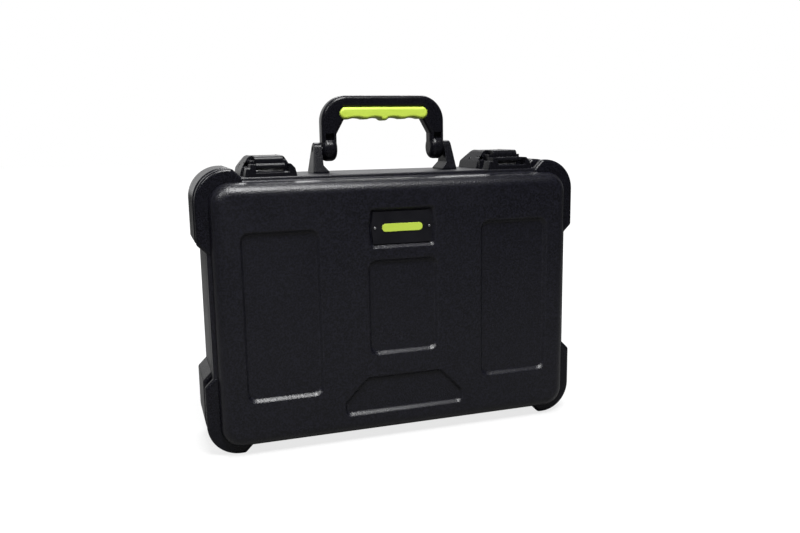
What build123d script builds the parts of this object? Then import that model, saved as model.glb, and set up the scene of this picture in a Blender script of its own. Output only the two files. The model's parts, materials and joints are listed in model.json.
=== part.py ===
from build123d import *
import os

# A moulded microphone case that stands on its bottom bumpers, with its handle up.
# X is the width, Y the depth with the lid at -Y and the base at +Y, Z the height.
# The origin is on the ground, under the middle of the case. All sizes are in mm.

# ------------------------------------------------------------------ shells
BAND_WIDTH = 430.0  # the band is the widest ring, on both sides of the parting line
BAND_HEIGHT = 298.0
BAND_CORNER_R = 28.0
LID_DEPTH = 35.0
BASE_DEPTH = 97.0
DOME_DEPTH = 17.5  # the domed faces stand this far out of the band
DOME_STEP = 4.5  # and this far inside it, which leaves a ledge along the top and sides
DOME_BOTTOM_STEP = 1.0  # but almost none underneath, where the hinges are
DOME_EDGE_R = 15.0
DOME_DRAFT = 2.0
WALL = 3.2
RIM_EDGE_R = 1.0
PARTING_GAP = 0.4
SEAT = 0.1  # between pieces that are fixed to each other
RUNNING_FIT = 0.05  # radial, round a pin that turns

# ------------------------------------------------------------------ recessed panels
PANEL_RECESS = 3.6
PANEL_SLOPE = 45.0
PANEL_CORNER_R = 10.5
SIDE_PANEL_WIDTH = 86.5
SIDE_PANEL_MARGIN = 33.0  # from the side of the band
SIDE_PANEL_TOP_MARGIN = 57.0
SIDE_PANEL_BOTTOM_MARGIN = 52.5
CENTRE_PANEL_WIDTH = 83.6
CENTRE_PANEL_TOP_MARGIN = 95.2
CENTRE_PANEL_BOTTOM_MARGIN = 92.4
FOOT_PANEL_MARGIN = 23.4  # above the underside of the band
FOOT_PANEL_SHOULDER = 16.3
FOOT_PANEL_HEIGHT = 44.3
FOOT_PANEL_WIDTH = 145.0
FOOT_PANEL_TOP_WIDTH = 90.0
FOOT_PANEL_CORNER_R = 7.0
PLATE_PANEL_DROP = 60.0  # from the top of the band to its middle
PLATE_PANEL_WIDTH = 82.0
PLATE_PANEL_END_WIDTH = 76.0
PLATE_PANEL_HEIGHT = 45.0
PLATE_PANEL_CORNER_R = 4.0

# ------------------------------------------------------------------ nameplate, left plain
PLATE_THICKNESS = 1.6
PLATE_MARGIN = 0.8
PLATE_BAR_WIDTH = 48.0
PLATE_BAR_HEIGHT = 9.0
PLATE_BAR_THICKNESS = 0.6
PLATE_RIVET_X = 32.2
PLATE_RIVET_HEAD_R = 1.3
PLATE_RIVET_HEAD = 0.8
PLATE_RIVET_SHANK_R = 0.8
PLATE_RIVET_DEPTH = 2.4

# ------------------------------------------------------------------ corner bumpers
BUMPER_PROUD = 10.0  # the case stands on them, so they also lift it off the ground
BUMPER_LEG_UP = 80.0
BUMPER_LEG_ACROSS = 41.0
BUMPER_CORNER_R = 36.0
BUMPER_TIP_R = 4.5
BUMPER_EDGE_R = 4.0
BUMPER_SETBACK = 9.0  # from the parting line, so that the lid bumpers pass the base bumpers
BUMPER_LIP = 1.5  # wraps over the ledge
BUMPER_SPARE = 1.0  # drawn deeper than the shell, which then cuts it to fit
BUMPER_SCREW_INSETS = (12.0, 34.0)  # from the tip of the upright leg
LID_BUMPER_SCREW_DEPTH = 12.0
BASE_BUMPER_SCREW_DEPTH = 44.0
SCREW_HEAD_R = 2.0
SCREW_HEAD = 1.6
SCREW_SHANK_R = 1.2
SCREW_BITE = 6.5

# ------------------------------------------------------------------ valances in the rims
VALANCE_SHEET = 1.5
VALANCE_FLANGE = 8.0
GROOVE_WIDTH = 3.2
GROOVE_DEPTH = 4.5
TONGUE_THICKNESS = 1.6
TONGUE_LENGTH = 3.0
RIM_RECESS = 0.2  # the metal lies this far inside the parting line

# ------------------------------------------------------------------ foams
FOAM_CLEARANCE = 0.3
TRAY_FRONT = 2.0  # depth of its face below the parting line
TRAY_THICKNESS = 44.0
LID_FOAM_FRONT = 3.0
POCKET_COUNT = 6
POCKET_SIDE_MARGIN = 50.0  # from the side of the case to the middle of the first cut-out
POCKET_TOP_MARGIN = 52.0  # from the top of the case to the middle of a head
POCKET_BOTTOM_MARGIN = 18.0
POCKET_HEAD_R = 28.0
POCKET_BODY_WIDTH = 40.0
POCKET_CORNER_R = 12.0

# ------------------------------------------------------------------ hinges
HINGE_INSET = 110.0  # from the side of the case to the middle of the hinge
HINGE_WIDTH = 60.0
HINGE_KNUCKLES = 5
HINGE_AXIS_DROP = 3.2  # below the underside of the shells
HINGE_BARREL_R = 2.9
HINGE_PIN_R = 1.5
HINGE_LEAF_THICKNESS = 1.2
HINGE_LEAF_START = 2.7
HINGE_LEAF_END = 14.0
HINGE_END_PLAY = 0.3
HINGE_RIVET_DEPTH = 11.0
HINGE_RIVET_PITCH = 20.0
RIVET_HEAD_R = 2.0
RIVET_HEAD = 1.1
RIVET_SHANK_R = 1.2

# ------------------------------------------------------------------ handle
HANDLE_Y = 5.0
HANDLE_PIVOT_RISE = 27.0  # above the top of the shells
HANDLE_WIDTH = 150.0
HANDLE_RISE = 61.0
HANDLE_ARM = 17.6
HANDLE_THICKNESS = 20.0
HANDLE_BAR = 13.5
HANDLE_CORNER_R = 30.0
HANDLE_EDGE_R = 5.0
HANDLE_GUSSET_START = 17.0  # above the pivot, where the arm starts to lean in
HANDLE_GUSSET_END = 34.0
HANDLE_GUSSET_REACH = 9.5
BOSS_R = 14.0
BOSS_EDGE_R = 6.5
NOTCH_WIDTH = 10.0
NOTCH_BOTTOM = 10.0  # above the pivot
NOTCH_HEIGHT = 8.0
NOTCH_DEPTH = 5.0
GRIP_LENGTH = 108.0
GRIP_HEIGHT = 14.0
GRIP_PROUD = 1.5
GRIP_EDGE_R = 3.5
GRIP_SCALLOP_R = 30.0
GRIP_SCALLOP_PITCH = 23.0
GRIP_SCALLOP_DEPTH = 1.5
GRIP_SCALLOPS = 4
GRIP_RIDGE_R = 6.0
GRIP_RIDGE_DROP = 1.6
HANDLE_PIN_R = 3.5
HANDLE_PIN_BITE = 14.0

# ------------------------------------------------------------------ handle brackets
BRACKET_GAP = 0.7  # between an arm and its bracket
BRACKET_TOP_WIDTH = 8.5
BRACKET_FOOT_WIDTH = 12.5
BRACKET_TOP_R = 7.8
BRACKET_BASE_DEPTH = 34.0
BRACKET_TOE = 6.0  # reaches in under the arm
BRACKET_TOE_HEIGHT = 9.0
BRACKET_TOE_TIP = 2.0
BRACKET_EDGE_R = 1.5
BRACKET_PIN_RECESS = 1.0
BRACKET_SCREW_SPACING = 20.0
BRACKET_SCREW_OUT = 8.0
BRACKET_SCREW_BITE = 8.0

# ------------------------------------------------------------------ latches, both the same way round
LATCH_INSET = 73.0  # from the side of the case to the middle of the latch
LATCH_HEIGHT = 22.0
LATCH_WIDTH = 59.0
LATCH_TOP_WIDTH = 38.0
LATCH_SHOULDER = 9.0
LATCH_SHOULDER_IN = 2.0
LATCH_SHOULDER_R = 12.0
LATCH_TOP_R = 6.0
LEVER_WIDTH = 31.2
LEVER_SIDE_GAP = 0.4
GUARD_START = 0.6  # depth behind the parting line
GUARD_WALL = 4.0
GUARD_WALL_HEIGHT = 17.0
GUARD_FLOOR = 3.0
GUARD_STEP_START = 11.0
GUARD_STEP_HEIGHT = 9.5
GUARD_CHEEK_START = 17.0
GUARD_END = 72.0
GUARD_REAR_SLOPE = 20.0
GUARD_REAR_HEIGHT = 8.0
GUARD_RIVET_DEPTH = 26.0
GUARD_RIVET_X = 8.0
HASP_HOLE_R = 2.2
HASP_HOLE_X = -22.5
HASP_HOLE_HEIGHT = 12.6
HASP_HOLE_DEPTH = 12.0
LEVER_PIVOT_DEPTH = 45.0
LEVER_PIVOT_HEIGHT = 11.0
LEVER_KNUCKLE_R = 6.5
LEVER_PIN_R = 2.0
LEVER_PIN_LENGTH = 50.0
LEVER_SHEET = 4.0
LEVER_NOSE_START = 6.0  # depth behind the parting line
LEVER_NOSE_END = -1.5
LEVER_NOSE_R = 5.0
LEVER_LIP_END = -13.2
LEVER_LIP_HEIGHT = 8.6
LEVER_LIP_THICKNESS = 5.4
LEVER_LIP_EDGE = 3.0  # the bead along the lip, in front of the finger trough
LEVER_LIP_R = 2.5
LEVER_TROUGH_DEPTH = 2.4
LEVER_SKIRT = 2.0
LEVER_SKIRT_START = 13.0
LEVER_SKIRT_END = 42.0
LEVER_SKIRT_HEIGHT = 8.0
HOOK_WIDTH = 16.0
HOOK_START = -7.5
HOOK_THICKNESS = 2.3
HOOK_CLEARANCE = 0.6  # over the keeper, so that the lid also opens past a closed lever

# ------------------------------------------------------------------ keepers on the lid
SILL_START = 14.0  # depth in front of the parting line
SILL_END = 16.8
SILL_HEIGHT = 5.4
SILL_TOE = 1.2
KEEPER_FLOOR = 2.0
KEEPER_SHEET = 1.2
KEEPER_WIDTH = 26.0
KEEPER_FRONT = 13.8
KEEPER_BACK = 3.0
KEEPER_RIDGE_HEIGHT = 6.6
KEEPER_RIVET_DEPTH = 11.0
KEEPER_GUARD_WIDTH = 57.0
SHOULDER_HEIGHT = 13.6
SHOULDER_SLOPE = 6.5
SHOULDER_EDGE_R = 2.5
LOW_SHOULDER_HEIGHT = 9.6
LOW_SHOULDER_EDGE_R = 1.5
KEEPER_WALL_HEIGHT = 13.5
KEEPER_WALL = 6.4

# ------------------------------------------------------------------ worked out from the sizes above
LID, BASE = -1, 1
HALF_DEPTH = {LID: LID_DEPTH, BASE: BASE_DEPTH}
PARTING_Y = (LID_DEPTH - BASE_DEPTH) / 2
BOTTOM_Z = BUMPER_PROUD
TOP_Z = BOTTOM_Z + BAND_HEIGHT
MID_Z = (BOTTOM_Z + TOP_Z) / 2
HALF_WIDTH = BAND_WIDTH / 2
HALF_HEIGHT = BAND_HEIGHT / 2
SIDE_PANEL_X = HALF_WIDTH - SIDE_PANEL_MARGIN - SIDE_PANEL_WIDTH / 2
SIDE_PANEL_HEIGHT = BAND_HEIGHT - SIDE_PANEL_TOP_MARGIN - SIDE_PANEL_BOTTOM_MARGIN
SIDE_PANEL_Z = BOTTOM_Z + SIDE_PANEL_BOTTOM_MARGIN + SIDE_PANEL_HEIGHT / 2
CENTRE_PANEL_HEIGHT = BAND_HEIGHT - CENTRE_PANEL_TOP_MARGIN - CENTRE_PANEL_BOTTOM_MARGIN
CENTRE_PANEL_Z = BOTTOM_Z + CENTRE_PANEL_BOTTOM_MARGIN + CENTRE_PANEL_HEIGHT / 2
FOOT_PANEL_BOTTOM_Z = BOTTOM_Z + FOOT_PANEL_MARGIN
FOOT_PANEL_SHOULDER_Z = FOOT_PANEL_BOTTOM_Z + FOOT_PANEL_SHOULDER
FOOT_PANEL_TOP_Z = FOOT_PANEL_BOTTOM_Z + FOOT_PANEL_HEIGHT
PLATE_PANEL_Z = TOP_Z - PLATE_PANEL_DROP
POCKET_PITCH = (BAND_WIDTH - 2 * POCKET_SIDE_MARGIN) / (POCKET_COUNT - 1)
POCKET_HEAD_Z = TOP_Z - POCKET_TOP_MARGIN
POCKET_BOTTOM_Z = BOTTOM_Z + POCKET_BOTTOM_MARGIN
HINGE_X = HALF_WIDTH - HINGE_INSET
HINGE_Z = BOTTOM_Z - HINGE_AXIS_DROP
HANDLE_PIVOT_Z = TOP_Z + HANDLE_PIVOT_RISE
LATCH_X = HALF_WIDTH - LATCH_INSET
GROOVE_INSET = WALL + SEAT + VALANCE_SHEET
TONGUE_INSET = GROOVE_INSET + (GROOVE_WIDTH - TONGUE_THICKNESS) / 2
RIM_INNER_INSET = GROOVE_INSET + GROOVE_WIDTH + VALANCE_SHEET
FOAM_INSET = RIM_INNER_INSET + FOAM_CLEARANCE
FOAM_CORNER_R = BAND_CORNER_R - FOAM_INSET
FOAM_EDGE_R = (DOME_EDGE_R - WALL) / 2  # clears the round inside the dome
FOAM_FLOOR = {side: HALF_DEPTH[side] - PANEL_RECESS - WALL - FOAM_CLEARANCE for side in (LID, BASE)}
BRACKET_IN_X = HANDLE_WIDTH / 2 + BRACKET_GAP
LEVER_SLOT = LEVER_WIDTH + 2 * LEVER_SIDE_GAP
GUARD_FRONT_WIDTH = LEVER_SLOT + 2 * GUARD_WALL
SIDES = (("left", -1), ("right", 1))


def outward(side, depth):
    """Plane at a depth from the parting line into one half of the case, facing away from the other half."""
    return Plane(origin=(0, PARTING_Y + side * depth, MID_Z), x_dir=(-side, 0, 0), z_dir=(0, side, 0))


def at(side, x, z):
    """The point x, z in the sketch coordinates of an outward plane."""
    return (-side * x, z - MID_Z)


def cross_section(x):
    """Plane across the case at x, whose sketch coordinates are depth behind the parting line and height."""
    return Plane(origin=(x, PARTING_Y, TOP_Z), x_dir=(0, 1, 0), z_dir=(1, 0, 0))


def drills(planes, radius, depth):
    """Round cutters for holes, one from each plane along its normal."""
    with BuildPart() as cutters:
        for plane in planes:
            with BuildSketch(plane):
                Circle(radius)
            extrude(amount=depth)
    return cutters.part


def fasteners(planes, head_r, head, shank_r, length, tail=0.0):
    """One screw or rivet on each plane: the head lies on it, the shank goes through, and a rivet has a tail."""
    with BuildPart() as group:
        for plane in planes:
            with BuildSketch(plane):
                Circle(shank_r)
            extrude(amount=length)
            with BuildSketch(plane):
                Circle(head_r)
            extrude(amount=-head)
            if tail:
                with BuildSketch(plane.offset(length)):
                    Circle(head_r)
                extrude(amount=tail)
        fillet(group.edges().filter_by(GeomType.CIRCLE).filter_by(lambda e: is_crown(e, planes, head)), head / 2)
    return group.part


def is_crown(edge, planes, head):
    """Whether a circle is the outer rim of a head."""
    return any(abs(plane.to_local_coords(edge.arc_center).Z + head) < 1e-4 for plane in planes)


# ------------------------------------------------------------------ shells
def half_block(side, start, inset):
    """One half as a solid, drawn in by inset: the band from a start depth to the ledge, then the dome."""
    ledge = HALF_DEPTH[side] - DOME_DEPTH - inset
    step = DOME_STEP + inset
    bottom_step = DOME_BOTTOM_STEP + inset
    with BuildPart() as block:
        with BuildSketch(outward(side, start)):
            RectangleRounded(BAND_WIDTH - 2 * inset, BAND_HEIGHT - 2 * inset, BAND_CORNER_R - inset)
        extrude(amount=ledge - start)
        with BuildSketch(outward(side, ledge)):
            with Locations((0, (bottom_step - step) / 2)):
                RectangleRounded(BAND_WIDTH - 2 * step, BAND_HEIGHT - step - bottom_step, BAND_CORNER_R - step)
        extrude(amount=DOME_DEPTH, taper=DOME_DRAFT)
        face = block.faces().sort_by(Axis.Y)[0 if side == LID else -1]
        fillet(face.edges(), DOME_EDGE_R - inset)
    return block.part


with BuildSketch() as plain_panels:
    for panel_x in (-SIDE_PANEL_X, SIDE_PANEL_X):
        with Locations(at(LID, panel_x, SIDE_PANEL_Z)):
            RectangleRounded(SIDE_PANEL_WIDTH, SIDE_PANEL_HEIGHT, PANEL_CORNER_R)
    with Locations(at(LID, 0, CENTRE_PANEL_Z)):
        RectangleRounded(CENTRE_PANEL_WIDTH, CENTRE_PANEL_HEIGHT, PANEL_CORNER_R)

with BuildSketch() as foot_panel:
    with BuildLine():
        Polyline(
            at(LID, -FOOT_PANEL_WIDTH / 2, FOOT_PANEL_BOTTOM_Z),
            at(LID, FOOT_PANEL_WIDTH / 2, FOOT_PANEL_BOTTOM_Z),
            at(LID, FOOT_PANEL_WIDTH / 2, FOOT_PANEL_SHOULDER_Z),
            at(LID, FOOT_PANEL_TOP_WIDTH / 2, FOOT_PANEL_TOP_Z),
            at(LID, -FOOT_PANEL_TOP_WIDTH / 2, FOOT_PANEL_TOP_Z),
            at(LID, -FOOT_PANEL_WIDTH / 2, FOOT_PANEL_SHOULDER_Z),
            close=True,
        )
    make_face()
    fillet(foot_panel.vertices(), FOOT_PANEL_CORNER_R)

with BuildSketch() as plate_panel:
    plate_top = PLATE_PANEL_Z + PLATE_PANEL_HEIGHT / 2
    plate_bottom = PLATE_PANEL_Z - PLATE_PANEL_HEIGHT / 2
    with BuildLine():
        Polyline(
            at(LID, -PLATE_PANEL_END_WIDTH / 2, plate_bottom),
            at(LID, PLATE_PANEL_END_WIDTH / 2, plate_bottom),
            at(LID, PLATE_PANEL_WIDTH / 2, PLATE_PANEL_Z),
            at(LID, PLATE_PANEL_END_WIDTH / 2, plate_top),
            at(LID, -PLATE_PANEL_END_WIDTH / 2, plate_top),
            at(LID, -PLATE_PANEL_WIDTH / 2, PLATE_PANEL_Z),
            close=True,
        )
    make_face()
    fillet(plate_panel.vertices(), PLATE_PANEL_CORNER_R)

PANELS = {
    LID: (plain_panels.sketch, foot_panel.sketch, plate_panel.sketch),
    BASE: (plain_panels.sketch, foot_panel.sketch),
}


def panel_blocks(side, depth, growth):
    """Blocks with sloping sides that fill the recessed panels, grown on every side, floors at a depth."""
    with BuildPart() as blocks:
        for outline in PANELS[side]:
            with BuildSketch(outward(side, HALF_DEPTH[side] - depth)):
                add(outline)
                offset(amount=growth - PANEL_RECESS)
            extrude(amount=PANEL_RECESS, taper=-PANEL_SLOPE)
    return blocks.part


def half_cavity(side):
    """The hollow of one half, which keeps an even wall behind the recessed panels."""
    hollow = half_block(side, 0, WALL)
    pads = panel_blocks(side, PANEL_RECESS + WALL, WALL * 0.414)
    with BuildPart() as cavity:
        add(hollow)
        add(pads, mode=Mode.SUBTRACT)
    return cavity.part


def rim_ring(side, near, far, outer_inset, inner_inset):
    """Ring along the inside of the rim, between two depths and between two insets from the band."""
    with BuildPart() as ring:
        with BuildSketch(outward(side, near)):
            RectangleRounded(
                BAND_WIDTH - 2 * outer_inset, BAND_HEIGHT - 2 * outer_inset, BAND_CORNER_R - outer_inset
            )
            RectangleRounded(
                BAND_WIDTH - 2 * inner_inset,
                BAND_HEIGHT - 2 * inner_inset,
                BAND_CORNER_R - inner_inset,
                mode=Mode.SUBTRACT,
            )
        extrude(amount=far - near)
    return ring.part


# ------------------------------------------------------------------ where the fasteners go
def bumper_screw_planes(side, across, up):
    """Inner wall planes of the two screws in the upright leg of one bumper."""
    depth = LID_BUMPER_SCREW_DEPTH if side == LID else BASE_BUMPER_SCREW_DEPTH
    tip = HALF_HEIGHT + BUMPER_PROUD - BUMPER_LEG_UP
    return [
        Plane(
            origin=(across * (HALF_WIDTH - WALL), PARTING_Y + side * depth, MID_Z + up * (tip + inset)),
            x_dir=(0, 1, 0),
            z_dir=(across, 0, 0),
        )
        for inset in BUMPER_SCREW_INSETS
    ]


def all_bumper_screw_planes(side):
    """Planes of the bumper screws of one half."""
    return [plane for across in (-1, 1) for up in (-1, 1) for plane in bumper_screw_planes(side, across, up)]


def down_planes(points, z):
    """Planes at a height, facing down, at points x, y."""
    return [Plane(origin=(x, y, z), x_dir=(1, 0, 0), z_dir=(0, 0, -1)) for x, y in points]


def up_planes(points, z):
    """Planes at a height, facing up, at points x, y."""
    return [Plane(origin=(x, y, z), x_dir=(1, 0, 0), z_dir=(0, 0, 1)) for x, y in points]


def hinge_rivet_points(side):
    """Three rivets in each leaf."""
    return [
        (hand * HINGE_X + i * HINGE_RIVET_PITCH, PARTING_Y + side * HINGE_RIVET_DEPTH)
        for hand in (-1, 1)
        for i in (-1, 0, 1)
    ]


GUARD_RIVET_POINTS = [
    (hand * LATCH_X + i * GUARD_RIVET_X, PARTING_Y + GUARD_RIVET_DEPTH) for hand in (-1, 1) for i in (-1, 1)
]
KEEPER_RIVET_POINTS = [
    (hand * LATCH_X + i * GUARD_RIVET_X, PARTING_Y - KEEPER_RIVET_DEPTH) for hand in (-1, 1) for i in (-1, 1)
]
BRACKET_SCREW_POINTS = [
    (hand * (BRACKET_IN_X + BRACKET_SCREW_OUT), HANDLE_Y + i * BRACKET_SCREW_SPACING / 2)
    for hand in (-1, 1)
    for i in (-1, 1)
]
PLATE_FLOOR_DEPTH = LID_DEPTH - PANEL_RECESS
PLATE_RIVET_PLANES = [
    Plane(
        origin=(i * PLATE_RIVET_X, PARTING_Y - PLATE_FLOOR_DEPTH - PLATE_THICKNESS, PLATE_PANEL_Z),
        x_dir=(1, 0, 0),
        z_dir=(0, 1, 0),
    )
    for i in (-1, 1)
]

lid_block = half_block(LID, PARTING_GAP / 2, 0)
lid_recesses = panel_blocks(LID, PANEL_RECESS, 0)
lid_cavity = half_cavity(LID)
lid_holes = (
    drills(all_bumper_screw_planes(LID), SCREW_SHANK_R + SEAT, WALL),
    drills(up_planes(hinge_rivet_points(LID), BOTTOM_Z), RIVET_SHANK_R + SEAT, WALL),
    drills(down_planes(KEEPER_RIVET_POINTS, TOP_Z), RIVET_SHANK_R + SEAT, WALL),
    drills(PLATE_RIVET_PLANES, PLATE_RIVET_SHANK_R + SEAT, PLATE_THICKNESS + PLATE_RIVET_DEPTH + SEAT),
)
with BuildPart() as lid_shell:
    add(lid_block)
    fillet(lid_shell.faces().sort_by(Axis.Y)[-1].edges(), RIM_EDGE_R)
    add(lid_recesses, mode=Mode.SUBTRACT)
    add(lid_cavity, mode=Mode.SUBTRACT)
    add(lid_holes, mode=Mode.SUBTRACT)

base_block = half_block(BASE, PARTING_GAP / 2, 0)
base_recesses = panel_blocks(BASE, PANEL_RECESS, 0)
base_cavity = half_cavity(BASE)
base_holes = (
    drills(all_bumper_screw_planes(BASE), SCREW_SHANK_R + SEAT, WALL),
    drills(up_planes(hinge_rivet_points(BASE), BOTTOM_Z), RIVET_SHANK_R + SEAT, WALL),
    drills(down_planes(GUARD_RIVET_POINTS, TOP_Z), RIVET_SHANK_R + SEAT, WALL),
    drills(down_planes(BRACKET_SCREW_POINTS, TOP_Z), SCREW_SHANK_R + SEAT, WALL),
)
with BuildPart() as base_shell:
    add(base_block)
    fillet(base_shell.faces().sort_by(Axis.Y)[0].edges(), RIM_EDGE_R)
    add(base_recesses, mode=Mode.SUBTRACT)
    add(base_cavity, mode=Mode.SUBTRACT)
    add(base_holes, mode=Mode.SUBTRACT)

# ------------------------------------------------------------------ nameplate
nameplate_holes = drills(PLATE_RIVET_PLANES, PLATE_RIVET_SHANK_R + SEAT, PLATE_THICKNESS)
with BuildPart() as nameplate:
    with BuildSketch(outward(LID, PLATE_FLOOR_DEPTH)):
        add(plate_panel.sketch)
        offset(amount=-PANEL_RECESS - PLATE_MARGIN)
    extrude(amount=PLATE_THICKNESS)
    add(nameplate_holes, mode=Mode.SUBTRACT)

with BuildPart() as nameplate_bar:
    with BuildSketch(outward(LID, PLATE_FLOOR_DEPTH + PLATE_THICKNESS)):
        with Locations(at(LID, 0, PLATE_PANEL_Z)):
            SlotOverall(PLATE_BAR_WIDTH, PLATE_BAR_HEIGHT)
    extrude(amount=PLATE_BAR_THICKNESS)

nameplate_rivets = fasteners(
    PLATE_RIVET_PLANES,
    PLATE_RIVET_HEAD_R,
    PLATE_RIVET_HEAD,
    PLATE_RIVET_SHANK_R,
    PLATE_THICKNESS + PLATE_RIVET_DEPTH,
)

# ------------------------------------------------------------------ valances: a groove in the base, a tongue in the lid
base_valance_rings = (
    rim_ring(BASE, RIM_RECESS, VALANCE_FLANGE, WALL + SEAT, GROOVE_INSET),
    rim_ring(BASE, GROOVE_DEPTH, GROOVE_DEPTH + VALANCE_SHEET, WALL + SEAT, RIM_INNER_INSET),
    rim_ring(BASE, RIM_RECESS, GROOVE_DEPTH + VALANCE_SHEET, GROOVE_INSET + GROOVE_WIDTH, RIM_INNER_INSET),
)
with BuildPart() as base_valance:
    for ring in base_valance_rings:
        add(ring)

lid_valance_rings = (
    rim_ring(LID, RIM_RECESS, VALANCE_FLANGE, WALL + SEAT, GROOVE_INSET),
    rim_ring(LID, RIM_RECESS, RIM_RECESS + VALANCE_SHEET, WALL + SEAT, TONGUE_INSET + TONGUE_THICKNESS),
    rim_ring(LID, -TONGUE_LENGTH, RIM_RECESS, TONGUE_INSET, TONGUE_INSET + TONGUE_THICKNESS),
)
with BuildPart() as lid_valance:
    for ring in lid_valance_rings:
        add(ring)


# ------------------------------------------------------------------ corner bumpers
def bumper_outline(side, across, up):
    """An angle round one corner, with bevelled tips; its inner part is cut away by the case."""
    reach_x = HALF_WIDTH + BUMPER_PROUD
    reach_z = HALF_HEIGHT + BUMPER_PROUD
    leg_x = reach_x - BUMPER_LEG_ACROSS
    leg_z = reach_z - BUMPER_LEG_UP
    inner_x = HALF_WIDTH - DOME_STEP - BUMPER_SPARE
    inner_z = HALF_HEIGHT - (DOME_STEP if up > 0 else DOME_BOTTOM_STEP) - BUMPER_SPARE
    corners = (
        (inner_x, leg_z - BUMPER_PROUD),
        (HALF_WIDTH, leg_z - BUMPER_PROUD),
        (reach_x, leg_z),
        (reach_x, reach_z),
        (leg_x, reach_z),
        (leg_x - BUMPER_PROUD, HALF_HEIGHT),
        (leg_x - BUMPER_PROUD, inner_z),
        (inner_x, inner_z),
    )
    points = [(-side * across * x, up * z) for x, z in corners]
    with BuildSketch() as outline:
        with BuildLine():
            Polyline(*points, close=True)
        make_face()
        fillet(outline.vertices().sort_by_distance(points[3])[0], BUMPER_CORNER_R)
        fillet(outline.vertices().sort_by_distance(points[2])[0], BUMPER_TIP_R)
        fillet(outline.vertices().sort_by_distance(points[4])[0], BUMPER_TIP_R)
        fillet(outline.vertices().sort_by_distance(points[7])[0], BAND_CORNER_R - DOME_STEP - BUMPER_SPARE)
    return outline.sketch


def outside_band(edge):
    """Whether an edge lies beyond the sides of the band."""
    middle = edge.center()
    return abs(middle.X) > HALF_WIDTH + 1 or abs(middle.Z - MID_Z) > HALF_HEIGHT + 1


def corner_bumper(side, across, up):
    """One bumper: an angle of constant thickness with a lip over the ledge of the shell."""
    outline = bumper_outline(side, across, up)
    seat = half_block(side, 0, -SEAT)
    far = HALF_DEPTH[side] - DOME_DEPTH + BUMPER_LIP
    holes = drills(bumper_screw_planes(side, across, up), SCREW_SHANK_R + SEAT, WALL + SCREW_BITE + SEAT)
    with BuildPart() as bumper:
        with BuildSketch(outward(side, BUMPER_SETBACK)):
            add(outline)
        extrude(amount=far - BUMPER_SETBACK)
        ends = bumper.faces().filter_by(Axis.Y).edges().filter_by(outside_band)
        fillet(ends, BUMPER_EDGE_R)
        add(seat, mode=Mode.SUBTRACT)
        add(holes, mode=Mode.SUBTRACT)
    return bumper.part


bumpers = {}
for half, side in (("lid", LID), ("base", BASE)):
    for level, up in (("top", 1), ("bottom", -1)):
        for hand, across in SIDES:
            bumpers[f"{half}_bumper_{level}_{hand}"] = corner_bumper(side, across, up)

lid_bumper_screws = fasteners(
    all_bumper_screw_planes(LID), SCREW_HEAD_R, SCREW_HEAD, SCREW_SHANK_R, WALL + SCREW_BITE
)
base_bumper_screws = fasteners(
    all_bumper_screw_planes(BASE), SCREW_HEAD_R, SCREW_HEAD, SCREW_SHANK_R, WALL + SCREW_BITE
)

# ------------------------------------------------------------------ foams
with BuildPart() as base_foam_tray:
    with BuildSketch(outward(BASE, TRAY_FRONT)):
        RectangleRounded(BAND_WIDTH - 2 * FOAM_INSET, BAND_HEIGHT - 2 * FOAM_INSET, FOAM_CORNER_R)
    extrude(amount=TRAY_THICKNESS)
    pocket_length = POCKET_HEAD_Z - POCKET_BOTTOM_Z
    with BuildSketch(outward(BASE, TRAY_FRONT)):
        with Locations(at(BASE, 0, POCKET_HEAD_Z)):
            with GridLocations(POCKET_PITCH, 1, POCKET_COUNT, 1):
                Circle(POCKET_HEAD_R)
        with Locations(at(BASE, 0, POCKET_BOTTOM_Z + pocket_length / 2)):
            with GridLocations(POCKET_PITCH, 1, POCKET_COUNT, 1):
                RectangleRounded(POCKET_BODY_WIDTH, pocket_length, POCKET_CORNER_R)
    extrude(amount=TRAY_THICKNESS, mode=Mode.SUBTRACT)

with BuildPart() as base_foam_backing:
    backing_front = TRAY_FRONT + TRAY_THICKNESS + FOAM_CLEARANCE
    with BuildSketch(outward(BASE, backing_front)):
        RectangleRounded(BAND_WIDTH - 2 * FOAM_INSET, BAND_HEIGHT - 2 * FOAM_INSET, FOAM_CORNER_R)
    extrude(amount=FOAM_FLOOR[BASE] - backing_front)
    fillet(base_foam_backing.faces().sort_by(Axis.Y)[-1].edges(), FOAM_EDGE_R)

with BuildPart() as lid_foam:
    with BuildSketch(outward(LID, LID_FOAM_FRONT)):
        RectangleRounded(BAND_WIDTH - 2 * FOAM_INSET, BAND_HEIGHT - 2 * FOAM_INSET, FOAM_CORNER_R)
    extrude(amount=FOAM_FLOOR[LID] - LID_FOAM_FRONT)
    fillet(lid_foam.faces().sort_by(Axis.Y)[0].edges(), FOAM_EDGE_R)


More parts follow.
